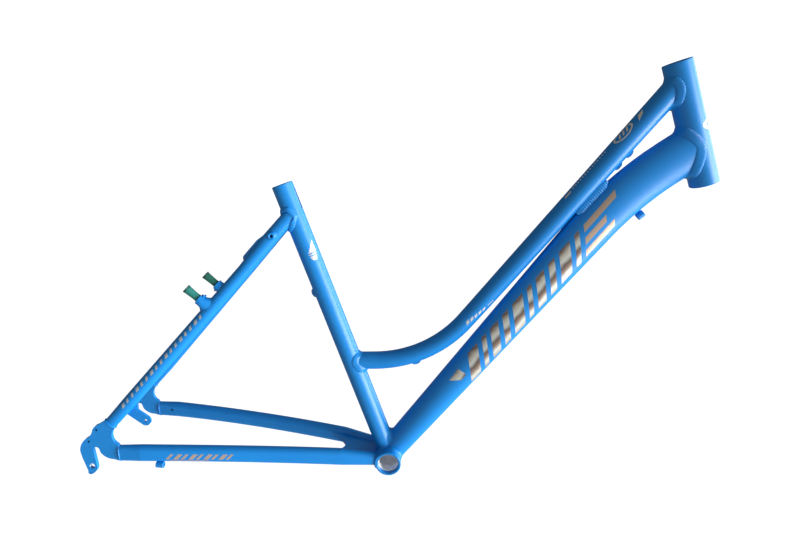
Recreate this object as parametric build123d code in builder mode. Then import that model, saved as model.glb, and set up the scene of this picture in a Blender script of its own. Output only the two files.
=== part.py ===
from build123d import *
from math import cos, radians, sin, tan
import os

# A low step-through bicycle frame, welded from aluminium tube. Every tube, plate, boss and
# cable guide is a separate solid, coped against the pieces it is welded to.
# Origin at the centre of the bottom bracket, +X forwards, +Y to the rider's left, +Z up, in mm.
# The drive side is the right side, at negative Y.

# Driving dimensions ---------------------------------------------------------------------------
SEAT_ANGLE = 72.0  # seat tube and head tube, degrees from the ground
HEAD_ANGLE = 72.0
SEAT_TUBE_LENGTH = 473.0  # bottom bracket centre to the top of the seat tube
HEAD_TUBE_LENGTH = 177.5
HEAD_FOOT = Vector(470.9, 0, 437.2)  # lower end of the head tube's axis

BRACKET_WIDTH = 68.0  # standard threaded shell
BRACKET_RADIUS = 20.5
BRACKET_BORE = 16.9
SEAT_TUBE_RADIUS = 15.9
SEAT_POST_BORE = 13.6  # takes a 27.2 mm seat post
SEAT_POST_DEPTH = 250.0
LOWER_SEAT_BORE = 14.2  # the seat tube is thinner below the seat post
HEAD_TUBE_RADIUS = 20.5
HEAD_BORE = 17.0  # takes 34 mm headset cups
CLAMP_SLOT_WIDTH = 8.0
CLAMP_SLOT_DEPTH = 14.0
RIM = 0.8  # chamfer on machined tube ends

TOP_TUBE_HEIGHT = 166.9  # where the top tube leaves the seat tube
TOP_TUBE_SLOPE = 49.5  # its straight run up to the head tube, degrees
TOP_TUBE_BEND = 186.0  # centre-line radius of the swoop
TOP_TUBE_RADIUS = 13.9
TOP_TUBE_HEAD_RADIUS = 16.3
TOP_JOINT_DROP = 26.0  # below the head tube's top, along its axis

DOWN_FOOT = Vector(-2, 0, -0.6)
DOWN_TUBE_SLOPE = 50.2
DOWN_TUBE_HEAD_SLOPE = 33.0  # after the bend
DOWN_TUBE_BEND = 484.0
DOWN_JOINT_RISE = 58.2  # above the head tube's foot, along its axis
DOWN_TUBE_FOOT = (19.5, 20.3)  # half width and half height of the oval at the bottom bracket
DOWN_TUBE_HEAD = (20.2, 32.6)  # and from the bend to the head tube
TUBE_WALL = 1.8

AXLE = Vector(-449.4, 0, 54.0)  # rear axle centre, 452 mm behind the bottom bracket
REAR_SPACING = 135.0
DROPOUT_THICKNESS = 6.0
AXLE_SLOT = 10.0
HANGER_HOLE = Vector(-460.5, 0, 25.8)
UPPER_EYELET = Vector(-444.3, 0, 88.4)
LOWER_EYELET = Vector(-459.4, 0, 68.7)
M5_CORE = 2.1
M10_CORE = 4.5

CHAINSTAY_END = -414.0  # x of the weld between chainstay and dropout
STAY_WALL = 1.7
SEATSTAY_TOP = Vector(-131.7, 9.4, 405.4)
SEATSTAY_FOOT = Vector(-421.2, 70.5, 98.2)

BOSS_SPREAD = 39.0  # half of the distance between the brake studs
BOSS_REACH = 22.6  # from the seat stay's axis to the face the brake arm turns on
BOSS_FLANGE = 8.7
STUD_RADIUS = 4.0
STUD_LENGTH = 16.5
CAP_LENGTH = 23.4
CAP_RADIUS = 5.7
CAP_LIP_RADIUS = 6.9
CAP_CLEARANCE = 0.06
CAP_FOOT = 2.5  # height of its flared foot
CAP_FLARE = 0.4  # how much wider the foot is
CAP_LIP = 1.6  # depth of the lip at its closed end
CAP_LIP_EDGE = 1.0
CAP_DISH = 1.4  # depth of the hollow inside the lip
CAP_DISH_RADIUS = 5.0

# Reference lines ------------------------------------------------------------------------------
SIDEWAYS = Vector(0, 1, 0)


def slope(angle):
    """Unit vector in the plane of symmetry, rising forwards at this angle."""
    return Vector(cos(radians(angle)), 0, sin(radians(angle)))


def meeting_point(start_a, direction_a, start_b, direction_b):
    """Where two lines in the plane of symmetry cross."""
    gap = start_b - start_a
    cross = direction_a.X * direction_b.Z - direction_a.Z * direction_b.X
    reach = (gap.X * direction_b.Z - gap.Z * direction_b.X) / cross
    return start_a + direction_a * reach


def across(origin, direction):
    """A plane square to a tube: its local X points sideways, its Z along the tube."""
    return Plane(origin=origin, x_dir=SIDEWAYS, z_dir=direction)


SEAT_DIRECTION = slope(180 - SEAT_ANGLE)
HEAD_DIRECTION = slope(180 - HEAD_ANGLE)
SEAT_TOP = SEAT_DIRECTION * SEAT_TUBE_LENGTH
HEAD_TOP = HEAD_FOOT + HEAD_DIRECTION * HEAD_TUBE_LENGTH

TOP_UP = slope(TOP_TUBE_SLOPE)
TOP_JOINT = HEAD_TOP - HEAD_DIRECTION * TOP_JOINT_DROP
TOP_START = Vector(-TOP_TUBE_HEIGHT / tan(radians(SEAT_ANGLE)), 0, TOP_TUBE_HEIGHT)
TOP_CORNER = meeting_point(TOP_START, slope(0), TOP_JOINT, TOP_UP)
TOP_TANGENT = TOP_TUBE_BEND * tan(radians(TOP_TUBE_SLOPE / 2))

DOWN_UP = slope(DOWN_TUBE_SLOPE)
DOWN_HEAD = slope(DOWN_TUBE_HEAD_SLOPE)
DOWN_JOINT = HEAD_FOOT + HEAD_DIRECTION * DOWN_JOINT_RISE
DOWN_CORNER = meeting_point(DOWN_FOOT, DOWN_UP, DOWN_JOINT, DOWN_HEAD)
DOWN_TANGENT = DOWN_TUBE_BEND * tan(radians((DOWN_TUBE_SLOPE - DOWN_TUBE_HEAD_SLOPE) / 2))

STAY_DIRECTION = (SEATSTAY_TOP - SEATSTAY_FOOT).normalized()
STAY_SLOPE = slope(0).get_angle(Vector(STAY_DIRECTION.X, 0, STAY_DIRECTION.Z))
UP_STAY = slope(STAY_SLOPE)
STUD_DIRECTION = slope(90 + STAY_SLOPE)  # square to the seat stays, up and backwards


# Shared solids --------------------------------------------------------------------------------
def rod(start, end, radius):
    """A plain round bar."""
    axis = end - start
    with BuildPart() as bar:
        with BuildSketch(Plane(origin=start, z_dir=axis)):
            Circle(radius)
        extrude(amount=axis.length)
    return bar.part


def top_tube_body(inset):
    """The top tube with its surface moved inwards by inset."""
    bend_start = TOP_CORNER - slope(0) * TOP_TANGENT
    bend_end = TOP_CORNER + TOP_UP * TOP_TANGENT
    with BuildPart() as body:
        with BuildLine() as swoop:
            Line(TOP_START, bend_start)
            TangentArc(bend_start, bend_end, tangent=slope(0))
        with BuildSketch(across(TOP_START, slope(0))):
            Circle(TOP_TUBE_RADIUS - inset)
        sweep(path=swoop.line)
        with BuildSketch(across(bend_end, TOP_UP)):
            Circle(TOP_TUBE_RADIUS - inset)
        with BuildSketch(across(TOP_JOINT, TOP_UP)):
            Circle(TOP_TUBE_HEAD_RADIUS - inset)
        loft(ruled=True)
    return body.part


def down_tube_body(inset):
    """The oval down tube, deeper towards the head tube, moved inwards by inset."""
    bend_start = DOWN_CORNER - DOWN_UP * DOWN_TANGENT
    bend_end = DOWN_CORNER + DOWN_HEAD * DOWN_TANGENT
    with BuildPart() as body:
        with BuildSketch(across(DOWN_FOOT, DOWN_UP)):
            Ellipse(DOWN_TUBE_FOOT[0] - inset, DOWN_TUBE_FOOT[1] - inset)
        with BuildSketch(across(bend_start, DOWN_UP)):
            Ellipse(DOWN_TUBE_HEAD[0] - inset, DOWN_TUBE_HEAD[1] - inset)
        loft(ruled=True)
        with BuildLine() as bend:
            TangentArc(bend_start, bend_end, tangent=DOWN_UP)
            Line(bend_end, DOWN_JOINT)
        with BuildSketch(across(bend_start, DOWN_UP)):
            Ellipse(DOWN_TUBE_HEAD[0] - inset, DOWN_TUBE_HEAD[1] - inset)
        sweep(path=bend.line)
    return body.part


# Centre line and section of the right chainstay: centre, half width, half height.
CHAINSTAY = [
    (Vector(-8, -21.5, 2.0), 8.0, 9.5),
    (Vector(-75, -32.5, 14.2), 8.5, 13.7),
    (Vector(-190, -48.0, 28.8), 8.5, 13.4),
    (Vector(-300, -61.0, 39.9), 8.5, 13.1),
    (Vector(-380, -69.0, 46.2), 8.0, 13.3),
    (Vector(CHAINSTAY_END, -70.5, 47.4), 5.2, 12.8),
]
CHAINSTAY_CORNER = 0.48  # corner radius as a share of the section's width
# The right seat stay: share of the way from top to foot, half width, half height, and how far
# the section sits behind the line from top to foot.
SEATSTAY = [
    (0.0, 8.6, 10.6, 1.6),
    (0.13, 9.5, 11.0, 1.6),
    (0.26, 9.5, 9.8, -0.2),
    (0.88, 9.8, 10.3, -0.3),
    (1.0, 4.6, 9.3, 0.0),
]


def mirrored(point):
    """The point opposite, on the other side of the frame."""
    return Vector(point.X, -point.Y, point.Z)


def across_centre(piece):
    """The same piece on the other side of the frame."""
    return piece.mirror(Plane.XZ)


def chainstay_body(inset):
    """The right chainstay, a flat-sided oval tube with a swaged end at the dropout."""
    with BuildPart() as body:
        for sections, straight in ((CHAINSTAY[:2], True), (CHAINSTAY[1:-1], False), (CHAINSTAY[-2:], True)):
            for centre, half_width, half_height in sections:
                with BuildSketch(Plane(origin=centre, x_dir=SIDEWAYS, z_dir=(-1, 0, 0))):
                    width = 2 * (half_width - inset)
                    RectangleRounded(width, 2 * (half_height - inset), CHAINSTAY_CORNER * width)
            loft(ruled=straight)
    return body.part


def seatstay_point(share):
    """A point on the right seat stay's axis."""
    top = mirrored(SEATSTAY_TOP)
    return top + (mirrored(SEATSTAY_FOOT) - top) * share


def seatstay_body(inset):
    """The right seat stay, straight, oval at the seat tube and pinched at the dropout."""
    with BuildPart() as body:
        for share, half_width, half_height, set_back in SEATSTAY:
            with BuildSketch(across(seatstay_point(share) + STUD_DIRECTION * set_back, UP_STAY)):
                Ellipse(half_width - inset, half_height - inset)
        loft(ruled=True)
    return body.part


bracket_envelope = rod(Vector(0, -BRACKET_WIDTH / 2, 0), Vector(0, BRACKET_WIDTH / 2, 0), BRACKET_RADIUS)
seat_envelope = rod(Vector(0, 0, 0), SEAT_TOP, SEAT_TUBE_RADIUS)
head_envelope = rod(HEAD_FOOT, HEAD_TOP, HEAD_TUBE_RADIUS)
top_envelope = top_tube_body(0)
down_envelope = down_tube_body(0)
chainstay_envelope = chainstay_body(0)
seatstay_envelope = seatstay_body(0)


# Main tubes -----------------------------------------------------------------------------------
with BuildPart() as bottom_bracket_shell:
    with BuildSketch(Plane.XZ):
        Circle(BRACKET_RADIUS)
        Circle(BRACKET_BORE, mode=Mode.SUBTRACT)
    extrude(amount=BRACKET_WIDTH / 2, both=True)
    chamfer(bottom_bracket_shell.edges().filter_by(GeomType.CIRCLE), RIM)

with BuildPart() as head_tube:
    with BuildSketch(Plane(origin=HEAD_FOOT, z_dir=HEAD_DIRECTION)):
        Circle(HEAD_TUBE_RADIUS)
        Circle(HEAD_BORE, mode=Mode.SUBTRACT)
    extrude(amount=HEAD_TUBE_LENGTH)
    chamfer(head_tube.edges().filter_by(GeomType.CIRCLE), RIM)

seat_plane = Plane(origin=(0, 0, 0), x_dir=SIDEWAYS, z_dir=SEAT_DIRECTION)
with BuildPart() as seat_tube:
    add(seat_envelope)
    chamfer(seat_tube.edges().filter_by(GeomType.CIRCLE).sort_by(Axis.Z)[-1], RIM)
    with BuildSketch(seat_plane):
        Circle(LOWER_SEAT_BORE)
    extrude(amount=SEAT_TUBE_LENGTH - SEAT_POST_DEPTH, mode=Mode.SUBTRACT)
    with BuildSketch(seat_plane.offset(SEAT_TUBE_LENGTH - SEAT_POST_DEPTH)):
        Circle(SEAT_POST_BORE)
    extrude(amount=SEAT_POST_DEPTH, mode=Mode.SUBTRACT)
    # The slot that lets the seat clamp close, open at the top and facing forwards.
    slot_plane = Plane(
        origin=SEAT_TOP - SEAT_DIRECTION * CLAMP_SLOT_DEPTH, x_dir=SIDEWAYS, z_dir=slope(90 - SEAT_ANGLE)
    )
    with BuildSketch(slot_plane):
        Circle(CLAMP_SLOT_WIDTH / 2)
        with Locations((0, -CLAMP_SLOT_DEPTH)):
            Rectangle(CLAMP_SLOT_WIDTH, 2 * CLAMP_SLOT_DEPTH)
    extrude(amount=2 * SEAT_TUBE_RADIUS, mode=Mode.SUBTRACT)
    add(bracket_envelope, mode=Mode.SUBTRACT)

with BuildPart() as down_tube:
    add(down_envelope)
    add(down_tube_body(TUBE_WALL), mode=Mode.SUBTRACT)
    for neighbour in (bracket_envelope, seat_envelope, head_envelope):
        add(neighbour, mode=Mode.SUBTRACT)

with BuildPart() as top_tube:
    add(top_envelope)
    add(top_tube_body(TUBE_WALL), mode=Mode.SUBTRACT)
    for neighbour in (seat_envelope, head_envelope, down_envelope):
        add(neighbour, mode=Mode.SUBTRACT)

# Stays ----------------------------------------------------------------------------------------
RACK_BOSS = Vector(-161.2, -29.0, 376.8)  # centre of its outer face
RACK_BOSS_RADIUS = 5.6
RACK_BOSS_RIM = 1.0
RACK_BOSS_LENGTH = 11.0  # it reaches through the stay's wall
RACK_BOSS_DEPTH = 9.0  # of its blind threaded hole
VENT = Vector(-389.1, -60.0, 47.8)
VENT_RADIUS = 2.2
VENT_REACH = 8.0  # through the wall on the wheel side only

with BuildPart() as chainstay_right:
    add(chainstay_envelope)
    add(chainstay_body(STAY_WALL), mode=Mode.SUBTRACT)
    for neighbour in (bracket_envelope, seat_envelope, down_envelope):
        add(neighbour, mode=Mode.SUBTRACT)
    # Vent hole on the wheel side, which lets hot gas out while the tube is welded.
    add(rod(VENT, VENT - SIDEWAYS * VENT_REACH, VENT_RADIUS), mode=Mode.SUBTRACT)

# Dropouts -------------------------------------------------------------------------------------
# Outline of the plates in the plane of symmetry's axes, shared by both sides.
STAY_WELD = STUD_DIRECTION * SEATSTAY[-1][2]  # half of the seam with the seat stay
STAY_WELD_TOP = ((SEATSTAY_FOOT + STAY_WELD).X, (SEATSTAY_FOOT + STAY_WELD).Z)
STAY_WELD_FOOT = ((SEATSTAY_FOOT - STAY_WELD).X, (SEATSTAY_FOOT - STAY_WELD).Z)
CHAIN_WELD_TOP = (CHAINSTAY_END, 62.4)
CHAIN_WELD_FOOT = (CHAINSTAY_END, 34.8)
PLATE_REAR = (-475.2, 52.0)
SLOT_MOUTH = (-443.2, 49.2)
inner_face = Plane.XZ.offset(REAR_SPACING / 2)


def upper_outline():
    """From the chainstay round the inner corner, the stay and the two eyelets to the rear."""
    Line(CHAIN_WELD_FOOT, CHAIN_WELD_TOP)
    ThreePointArc(CHAIN_WELD_TOP, (-421.8, 75.6), (-416.4, 89.4))
    Polyline((-416.4, 89.4), STAY_WELD_FOOT, STAY_WELD_TOP, (-440.2, 96.9))
    ThreePointArc((-440.2, 96.9), (-447.4, 92.8), (-451.0, 86.8))
    ThreePointArc((-451.0, 86.8), (-454.4, 80.2), (-459.6, 75.4))
    ThreePointArc((-459.6, 75.4), (-470.7, 65.4), PLATE_REAR)


def slot_outline(start):
    """From the rear wall of the axle slot over its closed end and out to the chainstay."""
    slot_rear = (AXLE.X - AXLE_SLOT / 2, AXLE.Z)
    slot_front = (AXLE.X + AXLE_SLOT / 2, AXLE.Z)
    Line(start, slot_rear)
    ThreePointArc(slot_rear, (AXLE.X, AXLE.Z + AXLE_SLOT / 2), slot_front)
    Line(slot_front, SLOT_MOUTH)
    ThreePointArc(SLOT_MOUTH, (-434.6, 40.8), (-424.0, 37.8))
    Line((-424.0, 37.8), CHAIN_WELD_FOOT)


with BuildPart() as dropout_right:
    with BuildSketch(inner_face):
        with BuildLine():
            upper_outline()
            Polyline(PLATE_REAR, (-473.4, 40.0), (-468.0, 17.6), (-468.6, 13.6), (-466.0, 11.0))
            ThreePointArc((-466.0, 11.0), (-456.6, 15.6), (-452.4, 25.0))
            slot_outline((-452.4, 25.0))
        make_face()
        for eyelet in (UPPER_EYELET, LOWER_EYELET):
            with Locations((eyelet.X, eyelet.Z)):
                Circle(M5_CORE, mode=Mode.SUBTRACT)
        with Locations((HANGER_HOLE.X, HANGER_HOLE.Z)):
            Circle(M10_CORE, mode=Mode.SUBTRACT)
    extrude(amount=DROPOUT_THICKNESS)

with BuildPart() as dropout_left:
    with BuildSketch(inner_face):
        with BuildLine():
            upper_outline()
            Line(PLATE_REAR, (-473.2, 46.0))
            ThreePointArc((-473.2, 46.0), (-464.0, 37.6), (-454.6, 43.0))
            slot_outline((-454.6, 43.0))
        make_face()
        for eyelet in (UPPER_EYELET, LOWER_EYELET):
            with Locations((eyelet.X, eyelet.Z)):
                Circle(M5_CORE, mode=Mode.SUBTRACT)
    extrude(amount=DROPOUT_THICKNESS)
    mirror(about=Plane.XZ, mode=Mode.REPLACE)

with BuildPart() as seatstay_right:
    add(seatstay_envelope)
    add(seatstay_body(STAY_WALL), mode=Mode.SUBTRACT)
    add(rod(RACK_BOSS, RACK_BOSS + SIDEWAYS * RACK_BOSS_LENGTH, RACK_BOSS_RADIUS), mode=Mode.SUBTRACT)
    add(seat_envelope, mode=Mode.SUBTRACT)

with BuildPart() as chainstay_left:
    add(chainstay_right.part)
    mirror(about=Plane.XZ, mode=Mode.REPLACE)

with BuildPart() as seatstay_left:
    add(seatstay_right.part)
    mirror(about=Plane.XZ, mode=Mode.REPLACE)

# Bridges --------------------------------------------------------------------------------------
BRAKE_BRIDGE_SHARE = 0.185
BRAKE_BRIDGE_LENGTH = 46.0  # along the stays
BRAKE_BRIDGE_THICKNESS = 16.0
BRAKE_BRIDGE_SET_BACK = 6.8  # behind the line of the stays
CHAIN_BRIDGE_THICKNESS = 10.0
CHAIN_BRIDGE_LENGTH = 65.0  # along the plane of symmetry
TYRE_NOTCH = 26.0  # radius of the hollow that clears the tyre

bridge_line = seatstay_point(BRAKE_BRIDGE_SHARE)
bridge_centre = Vector(bridge_line.X, 0, bridge_line.Z) + STUD_DIRECTION * BRAKE_BRIDGE_SET_BACK
with BuildPart() as brake_bridge:
    with BuildSketch(Plane(origin=bridge_centre, x_dir=UP_STAY, z_dir=-SIDEWAYS)):
        SlotOverall(BRAKE_BRIDGE_LENGTH, BRAKE_BRIDGE_THICKNESS)
    extrude(amount=abs(bridge_line.Y), both=True)
    add(seatstay_envelope, mode=Mode.SUBTRACT)
    add(across_centre(seatstay_envelope), mode=Mode.SUBTRACT)

# A plate between the chainstays, from the bottom bracket to a hollow that clears the tyre.
bridge_front, bridge_rear = CHAINSTAY[0][0], Vector(-94, -35.0, 17.0)
bridge_run = Vector(bridge_rear.X - bridge_front.X, 0, bridge_rear.Z - bridge_front.Z)
bridge_plane = Plane(
    origin=Vector(bridge_front.X, 0, bridge_front.Z), x_dir=bridge_run, z_dir=bridge_run.cross(-SIDEWAYS)
)
with BuildPart() as chainstay_bridge:
    with BuildSketch(bridge_plane):
        with BuildLine():
            Polyline(
                (0, bridge_front.Y),
                (bridge_run.length, bridge_rear.Y),
                (bridge_run.length, -bridge_rear.Y),
                (0, -bridge_front.Y),
                close=True,
            )
        make_face()
        with Locations((CHAIN_BRIDGE_LENGTH + TYRE_NOTCH, 0)):
            Circle(TYRE_NOTCH, mode=Mode.SUBTRACT)
    extrude(amount=CHAIN_BRIDGE_THICKNESS / 2, both=True)
    for neighbour in (chainstay_envelope, across_centre(chainstay_envelope), bracket_envelope, seat_envelope):
        add(neighbour, mode=Mode.SUBTRACT)

# Brake bosses, studs and their dust caps ------------------------------------------------------
STUD_BORE = 2.5  # M6 core
STUD_SHANK = 6.0  # screwed into the boss
NECK_RADIUS = 8.6
NECK_FOOT = (16.0, 8.4)  # half length along the stay and half width, at the stay's axis
FLANGE_THICKNESS = 3.0
SPRING_PLATE_THICKNESS = 3.0
SPRING_PLATE_REACH = 6.4
SPRING_PLATE_RADIUS = 5.2
SPRING_HOLES = [(9.2, -2.6), (9.8, 0), (9.2, 2.6)]  # three choices of spring tension
SPRING_HOLE = 0.9
CAP_GAP = 0.3
BOSS_OFFSET = 2.8  # the boss sits this far outside the stay's axis

boss_share = (BOSS_SPREAD - BOSS_OFFSET - SEATSTAY_TOP.Y) / (SEATSTAY_FOOT.Y - SEATSTAY_TOP.Y)
boss_root = Vector(seatstay_point(boss_share).X, -BOSS_SPREAD, seatstay_point(boss_share).Z)


def stud_plane(height, lean=1):
    """Square to the right brake stud, this far out; local X points up (1) or down (-1) the stay."""
    return Plane(origin=boss_root + STUD_DIRECTION * height, x_dir=UP_STAY * lean, z_dir=STUD_DIRECTION)


def brake_boss(lean):
    """The right brake boss, its spring plate pointing up (1) or down (-1) the stay."""
    with BuildPart() as boss:
        with BuildSketch(stud_plane(0).move(Location(SIDEWAYS * BOSS_OFFSET))):
            Ellipse(*NECK_FOOT)
        with BuildSketch(stud_plane(BOSS_REACH - FLANGE_THICKNESS - SPRING_PLATE_THICKNESS)):
            Circle(NECK_RADIUS)
        loft()
        with BuildSketch(stud_plane(BOSS_REACH - FLANGE_THICKNESS)):
            Circle(BOSS_FLANGE)
        extrude(amount=FLANGE_THICKNESS)
        with BuildSketch(stud_plane(BOSS_REACH - FLANGE_THICKNESS, lean)):
            Circle(BOSS_FLANGE)
            with Locations((SPRING_PLATE_REACH, 0)):
                Circle(SPRING_PLATE_RADIUS)
            with Locations((SPRING_PLATE_REACH / 2, 0)):
                Rectangle(SPRING_PLATE_REACH, 2 * SPRING_PLATE_RADIUS)
            with Locations(*SPRING_HOLES):
                Circle(SPRING_HOLE, mode=Mode.SUBTRACT)
        extrude(amount=-SPRING_PLATE_THICKNESS)
        with BuildSketch(stud_plane(BOSS_REACH)):
            Circle(STUD_RADIUS)
        extrude(amount=-STUD_SHANK, mode=Mode.SUBTRACT)
        add(seatstay_envelope, mode=Mode.SUBTRACT)
    return boss.part


brake_boss_right = brake_boss(1)
brake_boss_left = across_centre(brake_boss(-1))

with BuildPart() as brake_stud_right:
    with BuildSketch(stud_plane(BOSS_REACH - STUD_SHANK)):
        Circle(STUD_RADIUS)
    extrude(amount=STUD_SHANK + STUD_LENGTH)
    tip = brake_stud_right.faces().sort_by(Axis((0, 0, 0), tuple(STUD_DIRECTION)))[-1]
    chamfer(tip.edges(), RIM)
    with BuildSketch(stud_plane(BOSS_REACH + STUD_LENGTH)):
        Circle(STUD_BORE)
    extrude(amount=-STUD_LENGTH, mode=Mode.SUBTRACT)

cap_foot = boss_root + STUD_DIRECTION * (BOSS_REACH + CAP_GAP)
cap_bore = STUD_RADIUS + CAP_CLEARANCE
cap_depth = STUD_LENGTH + CAP_GAP
foot_edge = (CAP_RADIUS + CAP_FLARE, 0)
waist_foot = (CAP_RADIUS, CAP_FOOT)
waist_middle = (CAP_RADIUS + CAP_FLARE / 2, CAP_LENGTH / 2)
lip_foot = (CAP_RADIUS + 2 * CAP_FLARE, CAP_LENGTH - CAP_LIP)
lip_edge = (CAP_LIP_RADIUS, CAP_LENGTH - CAP_LIP_EDGE)
lip_top = (CAP_LIP_RADIUS, CAP_LENGTH)
dish_edge = (CAP_DISH_RADIUS, CAP_LENGTH)
dish_foot = (CAP_DISH_RADIUS - CAP_FLARE, CAP_LENGTH - CAP_DISH)
dish_centre = (0, CAP_LENGTH - CAP_DISH)
with BuildPart() as boss_cap_right:
    with BuildSketch(Plane(origin=cap_foot, x_dir=UP_STAY, z_dir=-SIDEWAYS)):
        with BuildLine():
            Polyline((0, cap_depth), (cap_bore, cap_depth), (cap_bore, 0), foot_edge, waist_foot)
            ThreePointArc(waist_foot, waist_middle, lip_foot)
            Polyline(lip_foot, lip_edge, lip_top, dish_edge, dish_foot, dish_centre, (0, cap_depth))
        make_face()
    revolve(axis=Axis(tuple(cap_foot), tuple(STUD_DIRECTION)))

# Bosses, tab and cable fittings ---------------------------------------------------------------
with BuildPart() as rack_boss_right:
    add(rod(RACK_BOSS, RACK_BOSS + SIDEWAYS * RACK_BOSS_LENGTH, RACK_BOSS_RADIUS))
    add(rod(RACK_BOSS, RACK_BOSS + SIDEWAYS * RACK_BOSS_DEPTH, M5_CORE), mode=Mode.SUBTRACT)
    mouth = rack_boss_right.faces().sort_by(Axis.Y)[0]
    chamfer(mouth.edges(), RACK_BOSS_RIM)

TAB_HOLE = Vector(-370.3, 0, 98.3)
TAB_REACH = 37.0  # from the hole back to the seat stay's axis
TAB_SLOPE = 141.0
TAB_RADIUS = 8.2
TAB_HOLE_RADIUS = 2.6
TAB_THICKNESS = 4.0
TAB_FACE = 64.0  # outer face, from the plane of symmetry
with BuildPart() as chainguard_tab:
    with BuildSketch(Plane.XZ.offset(TAB_FACE)):
        with Locations((TAB_HOLE.X, TAB_HOLE.Z)):
            Circle(TAB_RADIUS)
        middle = TAB_HOLE + slope(TAB_SLOPE) * TAB_REACH / 2
        with Locations(Location((middle.X, middle.Z, 0), (0, 0, TAB_SLOPE))):
            Rectangle(TAB_REACH, 2 * TAB_RADIUS)
        with Locations((TAB_HOLE.X, TAB_HOLE.Z)):
            Circle(TAB_HOLE_RADIUS, mode=Mode.SUBTRACT)
    extrude(amount=-TAB_THICKNESS)
    add(seatstay_envelope, mode=Mode.SUBTRACT)


DOWN_STOP = Vector(382.6, 0, 393.2)
DERAILLEUR_STOP = Vector(-354, -69.5, 25.6)
STOP_WIRE_HOLE = 1.2
STOP_SOCKET = 2.6  # takes the end of the cable housing
STOP_FLOOR = 3.0  # thickness behind the socket
STOP_RIM = 0.6
GUIDE_LENGTH = 14.0
GUIDE_WIDTH = 6.0
GUIDE_RISE = 3.6
GUIDE_HOLE = 1.0
GUIDE_HOLE_RISE = 1.7
GUIDE_SINK = 0.5  # depth of a guide's foot in its tube
TOP_GUIDE_DROPS = (139.5, 117.0)  # of the two straight-run guides below the head tube's joint
SWOOP_GUIDE_SLOPE = 18.7  # slope of the top tube where the guide sits in its bend
SEAT_GUIDE_HEIGHT = 301.0  # along the seat tube


def cable_stop(centre, direction, radius, length, host):
    """A barrel that ends a cable housing: a socket for the ferrule, a small hole for the wire."""
    start = centre - direction * length / 2
    end = centre + direction * length / 2
    with BuildPart() as stop:
        add(rod(start, end, radius))
        chamfer(stop.edges().filter_by(GeomType.CIRCLE), STOP_RIM)
        add(rod(start, end, STOP_WIRE_HOLE), mode=Mode.SUBTRACT)
        add(rod(start + direction * STOP_FLOOR, end, STOP_SOCKET), mode=Mode.SUBTRACT)
        add(host, mode=Mode.SUBTRACT)
    return stop.part


def cable_guide(foot, along, outward, host):
    """A low loop welded on a tube, half sunk in it, with a hole for the cable."""
    with BuildPart() as guide:
        with BuildSketch(Plane(origin=foot, x_dir=along, z_dir=along.cross(outward))):
            Ellipse(GUIDE_LENGTH / 2, GUIDE_RISE)
        extrude(amount=GUIDE_WIDTH / 2, both=True)
        hole = foot + outward * GUIDE_HOLE_RISE
        add(rod(hole - along * GUIDE_LENGTH, hole + along * GUIDE_LENGTH, GUIDE_HOLE), mode=Mode.SUBTRACT)
        add(host, mode=Mode.SUBTRACT)
    return guide.part


def top_guide(drop):
    """A cable guide under the straight run of the top tube, this far below its upper joint."""
    taper = (TOP_TUBE_HEAD_RADIUS - TOP_TUBE_RADIUS) / ((TOP_JOINT - TOP_CORNER).length - TOP_TANGENT)
    tube_radius = TOP_TUBE_HEAD_RADIUS - taper * drop
    outward = slope(TOP_TUBE_SLOPE - 90)
    foot = TOP_JOINT - TOP_UP * drop + outward * (tube_radius - GUIDE_SINK)
    return cable_guide(foot, TOP_UP, outward, top_envelope)


cable_stop_down_tube = cable_stop(DOWN_STOP, slope(40), 5.5, 11.0, down_envelope)
derailleur_cable_stop = cable_stop(DERAILLEUR_STOP, slope(-6), 5.0, 12.0, chainstay_envelope)
cable_guide_top_tube_lower = top_guide(TOP_GUIDE_DROPS[0])
cable_guide_top_tube_upper = top_guide(TOP_GUIDE_DROPS[1])

swoop_centre = TOP_CORNER - slope(0) * TOP_TANGENT + slope(90) * TOP_TUBE_BEND
swoop_outward = slope(SWOOP_GUIDE_SLOPE - 90)
swoop_foot = swoop_centre + swoop_outward * (TOP_TUBE_BEND + TOP_TUBE_RADIUS - GUIDE_SINK)
cable_guide_swoop = cable_guide(swoop_foot, slope(SWOOP_GUIDE_SLOPE), swoop_outward, top_envelope)

seat_guide_outward = slope(180 - SEAT_ANGLE + 90)
seat_guide_foot = SEAT_DIRECTION * SEAT_GUIDE_HEIGHT + seat_guide_outward * SEAT_TUBE_RADIUS
cable_guide_seat_tube = cable_guide(seat_guide_foot, SEAT_DIRECTION, seat_guide_outward, seat_envelope)

# The long weld where the top tube passes closest to the down tube.
WELD_START = Vector(290.0, 0, 400.9)
WELD_END = Vector(325.3, 0, 442.8)
WELD_WIDTH = 18.0
WELD_HEIGHT = 26.0
with BuildPart() as weld_top_down:
    with BuildSketch(Plane(origin=(WELD_START + WELD_END) * 0.5, x_dir=WELD_END - WELD_START, z_dir=-SIDEWAYS)):
        SlotOverall((WELD_END - WELD_START).length, WELD_HEIGHT)
    extrude(amount=WELD_WIDTH / 2, both=True)
    for neighbour in (top_envelope, down_envelope):
        add(neighbour, mode=Mode.SUBTRACT)

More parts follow.
